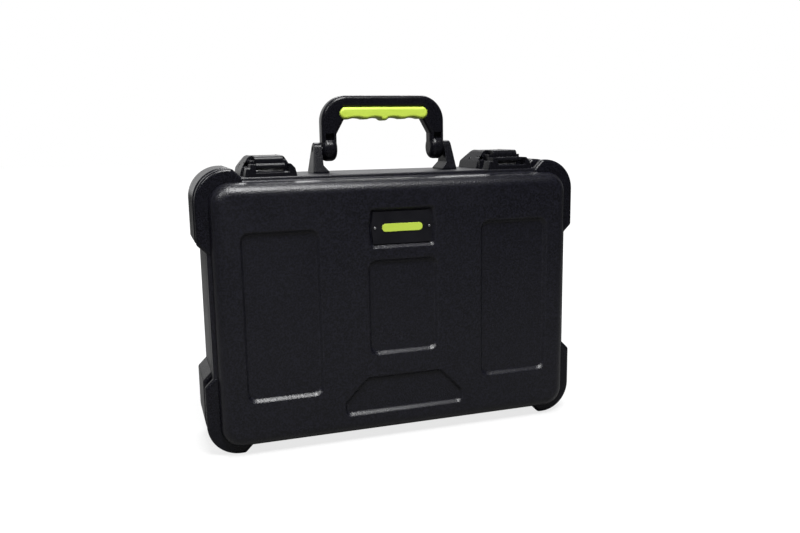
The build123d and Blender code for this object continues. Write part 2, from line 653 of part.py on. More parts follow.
# ------------------------------------------------------------------ hinges
def hinge_leaf(side, hand):
    """A riveted leaf with its share of the knuckles: the odd ones on the base, the even ones on the lid."""
    pitch = HINGE_WIDTH / HINGE_KNUCKLES
    start_x = hand * HINGE_X - HINGE_WIDTH / 2
    rivets = [point for point in hinge_rivet_points(side) if point[0] * hand > 0]
    pin_plane = Plane(origin=(start_x, PARTING_Y, HINGE_Z), x_dir=(0, 1, 0), z_dir=(1, 0, 0))
    holes = (
        drills([pin_plane], HINGE_PIN_R + RUNNING_FIT, HINGE_WIDTH),
        drills(up_planes(rivets, BOTTOM_Z - HINGE_LEAF_THICKNESS), RIVET_SHANK_R + SEAT, HINGE_LEAF_THICKNESS),
    )
    with BuildPart() as leaf:
        with BuildSketch(outward(side, HINGE_LEAF_START)):
            with Locations(at(side, hand * HINGE_X, BOTTOM_Z - HINGE_LEAF_THICKNESS / 2)):
                Rectangle(HINGE_WIDTH, HINGE_LEAF_THICKNESS)
        extrude(amount=HINGE_LEAF_END - HINGE_LEAF_START)
        for i in range(0 if side == BASE else 1, HINGE_KNUCKLES, 2):
            knuckle_plane = Plane(
                origin=(start_x + i * pitch + HINGE_END_PLAY / 2, PARTING_Y, HINGE_Z),
                x_dir=(0, side, 0),
                z_dir=(1, 0, 0),
            )
            neck_top = side * HINGE_BARREL_R
            with BuildSketch(knuckle_plane):
                Circle(HINGE_BARREL_R)
                with Locations((HINGE_LEAF_START / 2 + 0.3, neck_top - side * 0.8)):
                    Rectangle(HINGE_LEAF_START, 1.6)
            extrude(amount=pitch - HINGE_END_PLAY)
        add(holes, mode=Mode.SUBTRACT)
    return leaf.part


def hinge_pin(hand):
    """The pin of one hinge, as long as its barrel."""
    with BuildPart() as pin:
        with BuildSketch(Plane(origin=(hand * HINGE_X, PARTING_Y, HINGE_Z), x_dir=(0, 1, 0), z_dir=(1, 0, 0))):
            Circle(HINGE_PIN_R)
        extrude(amount=HINGE_WIDTH / 2, both=True)
    return pin.part


def hinge_rivets(side):
    """The rivets of both leaves on one half, headed outside and inside."""
    return fasteners(
        up_planes(hinge_rivet_points(side), BOTTOM_Z - HINGE_LEAF_THICKNESS),
        RIVET_HEAD_R,
        RIVET_HEAD,
        RIVET_SHANK_R,
        HINGE_LEAF_THICKNESS + WALL,
        tail=RIVET_HEAD,
    )


# ------------------------------------------------------------------ handle
handle_plane = Plane(origin=(0, HANDLE_Y, HANDLE_PIVOT_Z), x_dir=(1, 0, 0), z_dir=(0, -1, 0))
arm_inner_x = HANDLE_WIDTH / 2 - HANDLE_ARM
bar_bottom = HANDLE_RISE - HANDLE_BAR
grip_height_mid = bar_bottom - GRIP_HEIGHT / 2


def pivot_plane(hand, x):
    """Plane across the handle pivot at a distance x from the middle, facing out."""
    return Plane(origin=(hand * x, HANDLE_Y, HANDLE_PIVOT_Z), x_dir=(0, 1, 0), z_dir=(hand, 0, 0))


handle_pin_holes = drills(
    [pivot_plane(hand, HANDLE_WIDTH / 2 - HANDLE_PIN_BITE - SEAT) for hand in (-1, 1)],
    HANDLE_PIN_R + RUNNING_FIT,
    HANDLE_PIN_BITE + SEAT,
)
with BuildPart() as handle_boss:
    with BuildSketch(pivot_plane(1, arm_inner_x)):
        Circle(BOSS_R)
    extrude(amount=HANDLE_ARM)
    fillet(handle_boss.edges().filter_by(GeomType.CIRCLE), BOSS_EDGE_R)

with BuildPart() as handle_frame:
    with BuildSketch(handle_plane) as frame_outline:
        Rectangle(HANDLE_WIDTH, HANDLE_RISE, align=(Align.CENTER, Align.MIN))
        fillet(frame_outline.vertices().group_by(Axis.Y)[-1], HANDLE_CORNER_R)
        with BuildLine():
            Polyline(
                (-arm_inner_x, 0),
                (arm_inner_x, 0),
                (arm_inner_x, HANDLE_GUSSET_START),
                (arm_inner_x - HANDLE_GUSSET_REACH, HANDLE_GUSSET_END),
                (arm_inner_x - HANDLE_GUSSET_REACH, bar_bottom),
                (HANDLE_GUSSET_REACH - arm_inner_x, bar_bottom),
                (HANDLE_GUSSET_REACH - arm_inner_x, HANDLE_GUSSET_END),
                (-arm_inner_x, HANDLE_GUSSET_START),
                close=True,
            )
        make_face(mode=Mode.SUBTRACT)
    extrude(amount=HANDLE_THICKNESS / 2, both=True)
    rims = handle_frame.faces().filter_by(Axis.Y).edges()
    fillet(rims.filter_by(lambda e: e.center().Z > HANDLE_PIVOT_Z + 1), HANDLE_EDGE_R)
    with BuildSketch(handle_plane):
        with Locations((0, grip_height_mid)):
            SlotOverall(GRIP_LENGTH + 2 * SEAT, GRIP_HEIGHT + 2 * SEAT)
    extrude(amount=HANDLE_THICKNESS, both=True, mode=Mode.SUBTRACT)
    add(handle_boss.part)
    add(handle_boss.part.mirror(Plane.YZ))
    for face in (-1, 1):
        notch_plane = Plane(
            origin=(0, HANDLE_Y + face * HANDLE_THICKNESS / 2, HANDLE_PIVOT_Z), x_dir=(1, 0, 0), z_dir=(0, -1, 0)
        )
        with BuildSketch(notch_plane):
            for hand in (-1, 1):
                with Locations((hand * (arm_inner_x + HANDLE_ARM / 2), NOTCH_BOTTOM + NOTCH_HEIGHT / 2)):
                    Rectangle(NOTCH_WIDTH, NOTCH_HEIGHT)
        extrude(amount=face * NOTCH_DEPTH, mode=Mode.SUBTRACT)
    add(handle_pin_holes, mode=Mode.SUBTRACT)

with BuildPart() as handle_grip:
    with BuildSketch(handle_plane):
        with Locations((0, grip_height_mid)):
            SlotOverall(GRIP_LENGTH, GRIP_HEIGHT)
        scallop_centre = bar_bottom - GRIP_HEIGHT + GRIP_SCALLOP_DEPTH - GRIP_SCALLOP_R
        with Locations((0, scallop_centre)):
            with GridLocations(GRIP_SCALLOP_PITCH, 1, GRIP_SCALLOPS, 1):
                Circle(GRIP_SCALLOP_R, mode=Mode.SUBTRACT)
        with Locations((0, bar_bottom - GRIP_HEIGHT - GRIP_RIDGE_DROP + GRIP_RIDGE_R)):
            Circle(GRIP_RIDGE_R)
    extrude(amount=HANDLE_THICKNESS / 2 + GRIP_PROUD, both=True)
    fillet(handle_grip.faces().filter_by(Axis.Y).edges(), GRIP_EDGE_R)


def handle_bracket(hand):
    """A post beside the arm, rounded about the pivot, with a foot that spreads over the shell."""
    top = HANDLE_PIVOT_RISE + BRACKET_TOP_R
    screws = [point for point in BRACKET_SCREW_POINTS if point[0] * hand > 0]
    holes = (
        drills([pivot_plane(hand, BRACKET_IN_X - 1)], HANDLE_PIN_R + RUNNING_FIT, BRACKET_FOOT_WIDTH),
        drills(up_planes(screws, TOP_Z), SCREW_SHANK_R + SEAT, BRACKET_SCREW_BITE + SEAT),
    )
    with BuildPart() as bracket:
        with BuildSketch(Plane(origin=(hand * BRACKET_IN_X, HANDLE_Y, TOP_Z), x_dir=(hand, 0, 0), z_dir=(0, -hand, 0))):
            with BuildLine():
                Polyline(
                    (-BRACKET_TOE, 0),
                    (BRACKET_FOOT_WIDTH, 0),
                    (BRACKET_FOOT_WIDTH - 1, BRACKET_TOE_HEIGHT),
                    (BRACKET_TOP_WIDTH, top),
                    (0, top),
                    (0, BRACKET_TOE_HEIGHT),
                    (-BRACKET_TOE, BRACKET_TOE_TIP),
                    close=True,
                )
            make_face()
        extrude(amount=BRACKET_BASE_DEPTH, both=True)
        with BuildSketch(Plane(origin=(hand * BRACKET_IN_X, HANDLE_Y, TOP_Z), x_dir=(0, 1, 0), z_dir=(1, 0, 0))):
            with Locations((0, HANDLE_PIVOT_RISE)):
                Circle(BRACKET_TOP_R)
            Rectangle(BRACKET_BASE_DEPTH, BRACKET_TOE_TIP, align=(Align.CENTER, Align.MIN))
            make_hull()
        extrude(amount=BRACKET_FOOT_WIDTH + BRACKET_TOE, both=True, mode=Mode.INTERSECT)
        fillet(
            bracket.faces().sort_by(Axis.X)[-1 if hand > 0 else 0].edges().sort_by(Axis.Z)[1:], BRACKET_EDGE_R
        )
        add(holes, mode=Mode.SUBTRACT)
    return bracket.part


def handle_pin(hand):
    """The pivot pin, from its bore in the arm to just inside the outer face of the bracket."""
    with BuildPart() as pin:
        with BuildSketch(pivot_plane(hand, HANDLE_WIDTH / 2 - HANDLE_PIN_BITE)):
            Circle(HANDLE_PIN_R)
        extrude(amount=HANDLE_PIN_BITE + BRACKET_GAP + BRACKET_TOP_WIDTH - BRACKET_PIN_RECESS)
    return pin.part


handle_bracket_screws = fasteners(
    up_planes(BRACKET_SCREW_POINTS, TOP_Z - WALL), SCREW_HEAD_R, SCREW_HEAD, SCREW_SHANK_R, WALL + BRACKET_SCREW_BITE
)

# ------------------------------------------------------------------ latches
with BuildSketch() as latch_arch:
    with BuildLine():
        Polyline(
            (-LATCH_WIDTH / 2, 0),
            (LATCH_WIDTH / 2, 0),
            (LATCH_WIDTH / 2 - LATCH_SHOULDER_IN, LATCH_SHOULDER),
            (LATCH_TOP_WIDTH / 2, LATCH_HEIGHT),
            (-LATCH_TOP_WIDTH / 2, LATCH_HEIGHT),
            (LATCH_SHOULDER_IN - LATCH_WIDTH / 2, LATCH_SHOULDER),
            close=True,
        )
    make_face()
    levels = latch_arch.vertices().group_by(Axis.Y)
    fillet(levels[1], LATCH_SHOULDER_R)
    fillet(latch_arch.vertices().group_by(Axis.Y)[-1], LATCH_TOP_R)


def lever_pivot_plane(x):
    """Plane across the lever pivot, facing +X."""
    pivot_y = PARTING_Y + LEVER_PIVOT_DEPTH
    return Plane(origin=(x, pivot_y, TOP_Z + LEVER_PIVOT_HEIGHT), x_dir=(0, 1, 0), z_dir=(1, 0, 0))


def latch_guard(x):
    """Two cheeks with an open channel for the lever, a low step in front of them and walls up to the parting line."""
    centre = at(BASE, x, TOP_Z)
    rivets = [point for point in GUARD_RIVET_POINTS if point[0] * x > 0]
    hasp = Plane(
        origin=(x + HASP_HOLE_X, PARTING_Y + GUARD_STEP_START, TOP_Z + HASP_HOLE_HEIGHT),
        x_dir=(-1, 0, 0),
        z_dir=(0, 1, 0),
    )
    holes = (
        drills([lever_pivot_plane(x - LATCH_WIDTH / 2)], LEVER_PIN_R + RUNNING_FIT, LATCH_WIDTH),
        drills(down_planes(rivets, TOP_Z + GUARD_FLOOR), RIVET_SHANK_R + SEAT, GUARD_FLOOR),
        drills([hasp], HASP_HOLE_R, GUARD_CHEEK_START - GUARD_STEP_START + HASP_HOLE_DEPTH),
    )
    with BuildPart() as guard:
        with BuildSketch(outward(BASE, GUARD_CHEEK_START)):
            with Locations(centre):
                add(latch_arch.sketch)
        extrude(amount=GUARD_END - GUARD_CHEEK_START)
        with BuildSketch(cross_section(x)):
            with BuildLine():
                Polyline(
                    (GUARD_CHEEK_START, 0),
                    (GUARD_END, 0),
                    (GUARD_END, GUARD_REAR_HEIGHT),
                    (GUARD_END - GUARD_REAR_SLOPE, LATCH_HEIGHT),
                    (GUARD_CHEEK_START, LATCH_HEIGHT),
                    close=True,
                )
            make_face()
        extrude(amount=LATCH_WIDTH, both=True, mode=Mode.INTERSECT)
        with BuildSketch(outward(BASE, GUARD_STEP_START)):
            with Locations(centre):
                Rectangle(LATCH_WIDTH - 2 * LATCH_SHOULDER_IN, GUARD_STEP_HEIGHT, align=(Align.CENTER, Align.MIN))
        extrude(amount=GUARD_CHEEK_START - GUARD_STEP_START)
        with BuildSketch(outward(BASE, GUARD_START)):
            with Locations(centre):
                Rectangle(GUARD_FRONT_WIDTH, GUARD_WALL_HEIGHT, align=(Align.CENTER, Align.MIN))
        extrude(amount=GUARD_CHEEK_START - GUARD_START)
        with BuildSketch(outward(BASE, 0)):
            with Locations(at(BASE, x, TOP_Z + GUARD_FLOOR)):
                Rectangle(LEVER_SLOT, LATCH_HEIGHT, align=(Align.CENTER, Align.MIN))
        extrude(amount=GUARD_END, mode=Mode.SUBTRACT)
        add(holes, mode=Mode.SUBTRACT)
    return guard.part


def latch_lever(x):
    """A bent plate on a knuckle: a flat top, a rounded nose, a finger trough and lip, and a hook under them."""
    half = LEVER_WIDTH / 2
    top = LATCH_HEIGHT
    lip_top = LEVER_LIP_HEIGHT + LEVER_LIP_THICKNESS
    hook_bottom = KEEPER_RIDGE_HEIGHT + HOOK_CLEARANCE
    bore = drills([lever_pivot_plane(x - half)], LEVER_PIN_R + RUNNING_FIT, LEVER_WIDTH)
    with BuildPart() as lever:
        with BuildSketch(cross_section(x)) as profile:
            with BuildLine():
                Polyline(
                    (LEVER_PIVOT_DEPTH - LEVER_KNUCKLE_R, top),
                    (LEVER_NOSE_END, top),
                    (LEVER_NOSE_END, lip_top - LEVER_TROUGH_DEPTH),
                    (LEVER_LIP_END + LEVER_LIP_EDGE + LEVER_TROUGH_DEPTH, lip_top - LEVER_TROUGH_DEPTH),
                    (LEVER_LIP_END + LEVER_LIP_EDGE, lip_top),
                    (LEVER_LIP_END, lip_top),
                    (LEVER_LIP_END, LEVER_LIP_HEIGHT),
                    (LEVER_NOSE_END, LEVER_LIP_HEIGHT),
                    (LEVER_NOSE_START, top - LEVER_SHEET),
                    (LEVER_PIVOT_DEPTH - LEVER_KNUCKLE_R, top - LEVER_SHEET),
                    close=True,
                )
            make_face()
            fillet(profile.vertices().group_by(Axis.Y)[-1].sort_by(Axis.X)[0], LEVER_NOSE_R)
            fillet(profile.vertices().group_by(Axis.X)[0], LEVER_LIP_R)
        extrude(amount=half, both=True)
        with BuildSketch(cross_section(x)):
            with Locations((LEVER_PIVOT_DEPTH, LEVER_PIVOT_HEIGHT)):
                Circle(LEVER_KNUCKLE_R)
            with Locations((LEVER_PIVOT_DEPTH - LEVER_KNUCKLE_R, top - LEVER_SHEET / 2)):
                Circle(LEVER_SHEET / 2)
            make_hull()
        extrude(amount=half, both=True)
        for end in (x - half, x + half - LEVER_SKIRT):
            with BuildSketch(cross_section(end)):
                with Locations((LEVER_SKIRT_START, LEVER_SKIRT_HEIGHT)):
                    Rectangle(
                        LEVER_SKIRT_END - LEVER_SKIRT_START,
                        top - LEVER_SHEET / 2 - LEVER_SKIRT_HEIGHT,
                        align=(Align.MIN, Align.MIN),
                    )
            extrude(amount=LEVER_SKIRT)
        with BuildSketch(cross_section(x)):
            with Locations((HOOK_START, hook_bottom)):
                Rectangle(
                    HOOK_THICKNESS,
                    LEVER_LIP_HEIGHT + LEVER_LIP_THICKNESS / 4 - hook_bottom,
                    align=(Align.MIN, Align.MIN),
                )
        extrude(amount=HOOK_WIDTH / 2, both=True)
        add(bore, mode=Mode.SUBTRACT)
    return lever.part


def latch_pin(x):
    """The lever's pivot pin, through both cheeks."""
    with BuildPart() as pin:
        with BuildSketch(lever_pivot_plane(x)):
            Circle(LEVER_PIN_R)
        extrude(amount=LEVER_PIN_LENGTH / 2, both=True)
    return pin.part


guard_rivets = fasteners(
    down_planes(GUARD_RIVET_POINTS, TOP_Z + GUARD_FLOOR),
    RIVET_HEAD_R,
    RIVET_HEAD,
    RIVET_SHANK_R,
    GUARD_FLOOR + WALL,
    tail=RIVET_HEAD,
)


# ------------------------------------------------------------------ keepers
keeper_wall_x = LEVER_SLOT / 2 + KEEPER_WALL
with BuildSketch() as keeper_guard_front:
    with BuildLine():
        Polyline(
            (-KEEPER_GUARD_WIDTH / 2, 0),
            (KEEPER_GUARD_WIDTH / 2, 0),
            (KEEPER_GUARD_WIDTH / 2 - LATCH_SHOULDER_IN, LATCH_SHOULDER),
            (KEEPER_GUARD_WIDTH / 2 - SHOULDER_SLOPE, SHOULDER_HEIGHT),
            (GUARD_FRONT_WIDTH / 2, SHOULDER_HEIGHT),
            (GUARD_FRONT_WIDTH / 2, KEEPER_FLOOR),
            (-LEVER_SLOT / 2, KEEPER_FLOOR),
            (-LEVER_SLOT / 2, KEEPER_WALL_HEIGHT),
            (-keeper_wall_x, KEEPER_WALL_HEIGHT),
            (-keeper_wall_x, LOW_SHOULDER_HEIGHT),
            (LATCH_SHOULDER_IN - KEEPER_GUARD_WIDTH / 2, LOW_SHOULDER_HEIGHT),
            close=True,
        )
    make_face()


def keeper_guard(x):
    """The lid's share of the latch housing: a floor, a sill under the lip, a wall and two unlike shoulders."""
    rivets = [point for point in KEEPER_RIVET_POINTS if point[0] * x > 0]
    centre = at(LID, x, TOP_Z)
    high_side = x + GUARD_FRONT_WIDTH / 2 + 1
    low_side = x - keeper_wall_x - 1
    holes = drills(down_planes(rivets, TOP_Z + KEEPER_FLOOR), RIVET_SHANK_R + SEAT, KEEPER_FLOOR)
    with BuildPart() as guard:
        with BuildSketch(outward(LID, GUARD_START)):
            with Locations(centre):
                add(keeper_guard_front.sketch)
        extrude(amount=SILL_END - GUARD_START)
        rim = guard.faces().sort_by(Axis.Y)[0].edges().filter_by(lambda e: e.center().Z > TOP_Z + 1)
        high_rim = rim.filter_by(lambda e: e.center().X > high_side)
        low_rim = rim.filter_by(lambda e: e.center().X < low_side)
        fillet(high_rim, SHOULDER_EDGE_R)
        fillet(low_rim.sort_by(Axis.Z)[-1], LOW_SHOULDER_EDGE_R)
        with BuildSketch(cross_section(x)):
            with BuildLine():
                Polyline(
                    (-SILL_END, KEEPER_FLOOR / 2),
                    (-SILL_START, KEEPER_FLOOR / 2),
                    (-SILL_START, SILL_HEIGHT),
                    (-SILL_START - SILL_TOE / 2, SILL_HEIGHT),
                    (-SILL_END, SILL_HEIGHT - SILL_TOE),
                    close=True,
                )
            make_face()
        extrude(amount=GUARD_FRONT_WIDTH / 2, both=True)
        add(holes, mode=Mode.SUBTRACT)
    return guard.part


def keeper(x):
    """A steel strike: a riveted plate whose back edge is turned up for the hook."""
    rivets = [point for point in KEEPER_RIVET_POINTS if point[0] * x > 0]
    holes = drills(down_planes(rivets, TOP_Z + KEEPER_FLOOR + KEEPER_SHEET), RIVET_SHANK_R + SEAT, KEEPER_SHEET)
    with BuildPart() as strike:
        with BuildSketch(cross_section(x)):
            with BuildLine():
                Polyline(
                    (-KEEPER_FRONT, KEEPER_FLOOR),
                    (-KEEPER_BACK, KEEPER_FLOOR),
                    (-KEEPER_BACK, KEEPER_RIDGE_HEIGHT),
                    (-KEEPER_BACK - KEEPER_SHEET, KEEPER_RIDGE_HEIGHT),
                    (-KEEPER_BACK - KEEPER_SHEET, KEEPER_FLOOR + KEEPER_SHEET),
                    (-KEEPER_FRONT, KEEPER_FLOOR + KEEPER_SHEET),
                    close=True,
                )
            make_face()
        extrude(amount=KEEPER_WIDTH / 2, both=True)
        add(holes, mode=Mode.SUBTRACT)
    return strike.part


keeper_rivets = fasteners(
    down_planes(KEEPER_RIVET_POINTS, TOP_Z + KEEPER_FLOOR + KEEPER_SHEET),
    RIVET_HEAD_R,
    RIVET_HEAD,
    RIVET_SHANK_R,
    KEEPER_FLOOR + KEEPER_SHEET + WALL,
    tail=RIVET_HEAD,
)

# ------------------------------------------------------------------ all the pieces, by name
pieces = {
    "lid_shell": lid_shell.part,
    "lid_valance": lid_valance.part,
    "lid_foam": lid_foam.part,
    "lid_bumper_screws": lid_bumper_screws,
    "nameplate": nameplate.part,
    "nameplate_bar": nameplate_bar.part,
    "nameplate_rivets": nameplate_rivets,
    "keeper_rivets": keeper_rivets,
    "hinge_rivets_lid": hinge_rivets(LID),
    "base_shell": base_shell.part,
    "base_valance": base_valance.part,
    "base_foam_tray": base_foam_tray.part,
    "base_foam_backing": base_foam_backing.part,
    "base_bumper_screws": base_bumper_screws,
    "latch_guard_rivets": guard_rivets,
    "hinge_rivets_base": hinge_rivets(BASE),
    "handle_bracket_screws": handle_bracket_screws,
    "handle_frame": handle_frame.part,
    "handle_grip": handle_grip.part,
}
pieces.update(bumpers)
for name, hand in SIDES:
    pieces[f"hinge_leaf_lid_{name}"] = hinge_leaf(LID, hand)
    pieces[f"hinge_leaf_base_{name}"] = hinge_leaf(BASE, hand)
    pieces[f"hinge_pin_{name}"] = hinge_pin(hand)
    pieces[f"handle_bracket_{name}"] = handle_bracket(hand)
    pieces[f"handle_pin_{name}"] = handle_pin(hand)
    pieces[f"latch_guard_{name}"] = latch_guard(hand * LATCH_X)
    pieces[f"latch_lever_{name}"] = latch_lever(hand * LATCH_X)
    pieces[f"latch_pin_{name}"] = latch_pin(hand * LATCH_X)
    pieces[f"keeper_guard_{name}"] = keeper_guard(hand * LATCH_X)
    pieces[f"keeper_{name}"] = keeper(hand * LATCH_X)

os.makedirs("parts", exist_ok=True)
for label, piece in pieces.items():
    piece.label = label
    export_step(piece, f"parts/{label}.step")
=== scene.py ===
import json
import math

import bmesh
import bpy
from mathutils import Matrix, Vector


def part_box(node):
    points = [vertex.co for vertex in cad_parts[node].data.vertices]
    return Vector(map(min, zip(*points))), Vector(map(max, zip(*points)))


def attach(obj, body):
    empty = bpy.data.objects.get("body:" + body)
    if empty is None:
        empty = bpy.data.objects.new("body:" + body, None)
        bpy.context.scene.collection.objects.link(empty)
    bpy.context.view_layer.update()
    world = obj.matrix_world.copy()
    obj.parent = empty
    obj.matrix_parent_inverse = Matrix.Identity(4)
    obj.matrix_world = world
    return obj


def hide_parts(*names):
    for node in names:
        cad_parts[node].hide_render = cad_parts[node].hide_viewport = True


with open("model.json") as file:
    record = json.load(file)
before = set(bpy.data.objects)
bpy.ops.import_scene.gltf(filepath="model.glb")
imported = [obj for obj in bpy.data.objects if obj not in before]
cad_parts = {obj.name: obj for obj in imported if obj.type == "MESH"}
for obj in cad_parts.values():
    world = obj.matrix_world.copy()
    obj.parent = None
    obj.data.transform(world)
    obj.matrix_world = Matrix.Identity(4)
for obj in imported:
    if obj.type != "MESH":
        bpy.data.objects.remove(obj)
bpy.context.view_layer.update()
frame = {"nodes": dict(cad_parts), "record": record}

NODES = frame["nodes"]


# ------------------------------------------------------------------ materials
class Nodes:
    """Builds one material's node tree."""

    def __init__(self, name):
        self.material = bpy.data.materials.new(name)
        self.material.use_nodes = True
        self.tree = self.material.node_tree
        self.shader = self.tree.nodes["Principled BSDF"]
        self.coordinates = self.add("ShaderNodeTexCoord").outputs["Object"]

    def add(self, kind, **settings):
        node = self.tree.nodes.new(kind)
        for key, value in settings.items():
            setattr(node, key, value)
        return node

    def link(self, source, target):
        self.tree.links.new(source, target)

    def noise(self, scale, detail=2.0, roughness=0.5, coordinates=None):
        node = self.add("ShaderNodeTexNoise")
        node.inputs["Scale"].default_value = scale
        node.inputs["Detail"].default_value = detail
        node.inputs["Roughness"].default_value = roughness
        self.link(coordinates or self.coordinates, node.inputs["Vector"])
        return node.outputs["Fac"]

    def cells(self, scale, feature="F1"):
        node = self.add("ShaderNodeTexVoronoi", feature=feature)
        node.inputs["Scale"].default_value = scale
        self.link(self.coordinates, node.inputs["Vector"])
        return node.outputs["Distance"]

    def stretch(self, x, y, z):
        node = self.add("ShaderNodeMapping")
        node.inputs["Scale"].default_value = (x, y, z)
        self.link(self.coordinates, node.inputs["Vector"])
        return node.outputs["Vector"]

    def ramp(self, source, stops):
        node = self.add("ShaderNodeValToRGB")
        elements = node.color_ramp.elements
        while len(elements) < len(stops):
            elements.new(0.5)
        for element, (place, value) in zip(elements, stops):
            element.position = place
            element.color = (*value, 1) if isinstance(value, tuple) else (value, value, value, 1)
        self.link(source, node.inputs["Fac"])
        return node.outputs["Color"]

    def mix(self, factor, a, b):
        """A mix of two colours, whose sockets on the Mix node are inputs 6 and 7 and output 2."""
        node = self.add("ShaderNodeMix", data_type="RGBA")
        for socket, value in ((node.inputs[0], factor), (node.inputs[6], a), (node.inputs[7], b)):
            if isinstance(value, bpy.types.NodeSocket):
                self.link(value, socket)
            elif isinstance(value, tuple):
                socket.default_value = (*value, 1)
            else:
                socket.default_value = value
        return node.outputs[2]

    def math(self, operation, a, b):
        node = self.add("ShaderNodeMath", operation=operation)
        for socket, value in ((node.inputs[0], a), (node.inputs[1], b)):
            if isinstance(value, bpy.types.NodeSocket):
                self.link(value, socket)
            else:
                socket.default_value = value
        return node.outputs[0]

    def rounded(self, radius):
        """A normal that turns softly over sharp edges, and a mask that is 1 along them."""
        bevel = self.add("ShaderNodeBevel", samples=6)
        bevel.inputs["Radius"].default_value = radius
        geometry = self.add("ShaderNodeNewGeometry")
        same = self.add("ShaderNodeVectorMath", operation="DOT_PRODUCT")
        self.link(bevel.outputs["Normal"], same.inputs[0])
        self.link(geometry.outputs["Normal"], same.inputs[1])
        return bevel.outputs["Normal"], self.ramp(same.outputs["Value"], ((0.80, 1.0), (0.985, 0.0)))

    def bump(self, height, strength, distance, normal=None):
        node = self.add("ShaderNodeBump")
        node.inputs["Strength"].default_value = strength
        node.inputs["Distance"].default_value = distance
        self.link(height, node.inputs["Height"])
        if normal:
            self.link(normal, node.inputs["Normal"])
        return node.outputs["Normal"]

    def finish(self, color=None, roughness=None, normal=None, **sockets):
        for name, value in (("Base Color", color), ("Roughness", roughness), ("Normal", normal)):
            if isinstance(value, bpy.types.NodeSocket):
                self.link(value, self.shader.inputs[name])
            elif value is not None:
                self.shader.inputs[name].default_value = (*value, 1) if isinstance(value, tuple) else value
        for name, value in sockets.items():
            self.shader.inputs[name.replace("_", " ")].default_value = value
        return self.material


def moulded_plastic(name, color, worn, grain, depth, rough, level, soften=None):
    """Dark moulded plastic with a fine grain whose ridges carry painted glints, worn a little paler along
    its edges.

    grain is the number of grain cells in a metre, and depth the height of the ridges round them.
    soften, where it is given, is a wider radius over which the shading turns round an edge.
    """
    worn_width = 0.0009
    rough_spread = 0.06
    m = Nodes(name)
    soft, edge = m.rounded(worn_width)
    if soften:
        soft = m.rounded(soften)[0]
    ridges = m.cells(grain, "SMOOTH_F1")
    fine = m.noise(grain * 1.7, 1.0, 0.5)
    relief = m.math("ADD", m.math("MULTIPLY", ridges, 0.9), m.math("MULTIPLY", fine, 0.12))
    broad = m.noise(11.0, 4.0, 0.55)
    dust = m.noise(190.0, 5.0, 0.75)
    patch_color = tuple(c * 1.3 for c in color)
    # The grain's ridges are painted paler: partly the grain's own colour, partly painted glints.
    ridge_glint_color = tuple(c * 4.6 for c in color)
    tone = m.mix(m.ramp(broad, ((0.35, 0.0), (0.7, 1.0))), color, patch_color)
    tone = m.mix(m.ramp(ridges, ((0.25, 0.0), (0.60, 1.0))), tone, ridge_glint_color)
    tone = m.mix(m.ramp(dust, ((0.58, 0.0), (0.80, 0.16))), tone, worn)
    worn_edge = m.math("MULTIPLY", edge, m.ramp(dust, ((0.40, 0.30), (0.62, 0.85))))
    tone = m.mix(worn_edge, tone, worn)
    gloss = m.ramp(broad, ((0.3, rough - rough_spread), (0.72, rough + rough_spread)))
    normal = m.bump(relief, 0.8, depth, soft)
    return m.finish(tone, gloss, normal, Specular_IOR_Level=level)


def lime_plastic():
    """Smooth lime plastic with faint flow marks and a slight gloss."""
    m = Nodes("lime_plastic")
    soft, edge = m.rounded(0.0006)
    flow = m.noise(1.0, 4.0, 0.5, m.stretch(14, 60, 60))
    deep, pale, worn = (0.39, 0.52, 0.048), (0.46, 0.59, 0.078), (0.62, 0.76, 0.12)
    tone = m.mix(m.ramp(flow, ((0.3, 0.0), (0.75, 1.0))), deep, pale)
    tone = m.mix(m.math("MULTIPLY", edge, 0.4), tone, worn)
    gloss = m.ramp(m.noise(70.0, 3.0), ((0.3, 0.34), (0.7, 0.46)))
    normal = m.bump(m.noise(900.0, 2.0), 0.15, 0.0002, soft)
    return m.finish(tone, gloss, normal, Specular_IOR_Level=0.4)


def brushed_metal(name, color, dark, rough, direction, wear=0.5):
    """Metal with fine lines along one direction, dulled in patches, bright on its edges."""
    m = Nodes(name)
    soft, edge = m.rounded(0.0004)
    lines = m.noise(1.0, 3.0, 0.6, m.stretch(*direction))
    patches = m.noise(40.0, 4.0, 0.6)
    tone = m.mix(m.ramp(patches, ((0.35, 0.0), (0.7, wear))), color, dark)
    tone = m.mix(m.math("MULTIPLY", edge, 0.7), tone, tuple(min(1.0, c * 1.3) for c in color))
    gloss = m.ramp(lines, ((0.25, rough - 0.08), (0.75, rough + 0.12)))
    normal = m.bump(lines, 0.25, 0.0002, soft)
    return m.finish(tone, gloss, normal, Metallic=1.0)


def foam_material(name, color, pale):
    """Open-cell foam with small pores darkened by painted shade, paler in patches."""
    m = Nodes(name)
    pores = m.cells(900.0)
    lumps = m.noise(420.0, 4.0, 0.7)
    broad = m.noise(14.0, 3.0)
    tone = m.mix(m.ramp(broad, ((0.3, 0.0), (0.75, 1.0))), color, pale)
    # Painted shade darkens the pores.
    tone = m.mix(m.ramp(pores, ((0.1, 1.0), (0.45, 0.0))), tone, tuple(c * 0.35 for c in color))
    relief = m.math("ADD", m.math("MULTIPLY", pores, 0.8), m.math("MULTIPLY", lumps, 0.6))
    normal = m.bump(relief, 0.8, 0.0012)
    sheen = {"Sheen_Weight": 0.35, "Sheen_Roughness": 0.6}
    return m.finish(tone, 0.95, normal, Specular_IOR_Level=0.15, **sheen)


def gloss_plate():
    """The nameplate's smooth black face, hazed in patches."""
    m = Nodes("plate_plastic")
    haze = m.noise(30.0, 4.0)
    clear, hazed = (0.0018, 0.0018, 0.0036), (0.0030, 0.0030, 0.0052)
    tone = m.mix(m.ramp(haze, ((0.3, 0.0), (0.7, 1.0))), clear, hazed)
    gloss = m.ramp(haze, ((0.3, 0.34), (0.75, 0.48)))
    normal = m.bump(m.noise(500.0, 2.0), 0.1, 0.0002)
    return m.finish(tone, gloss, normal, Specular_IOR_Level=0.36)


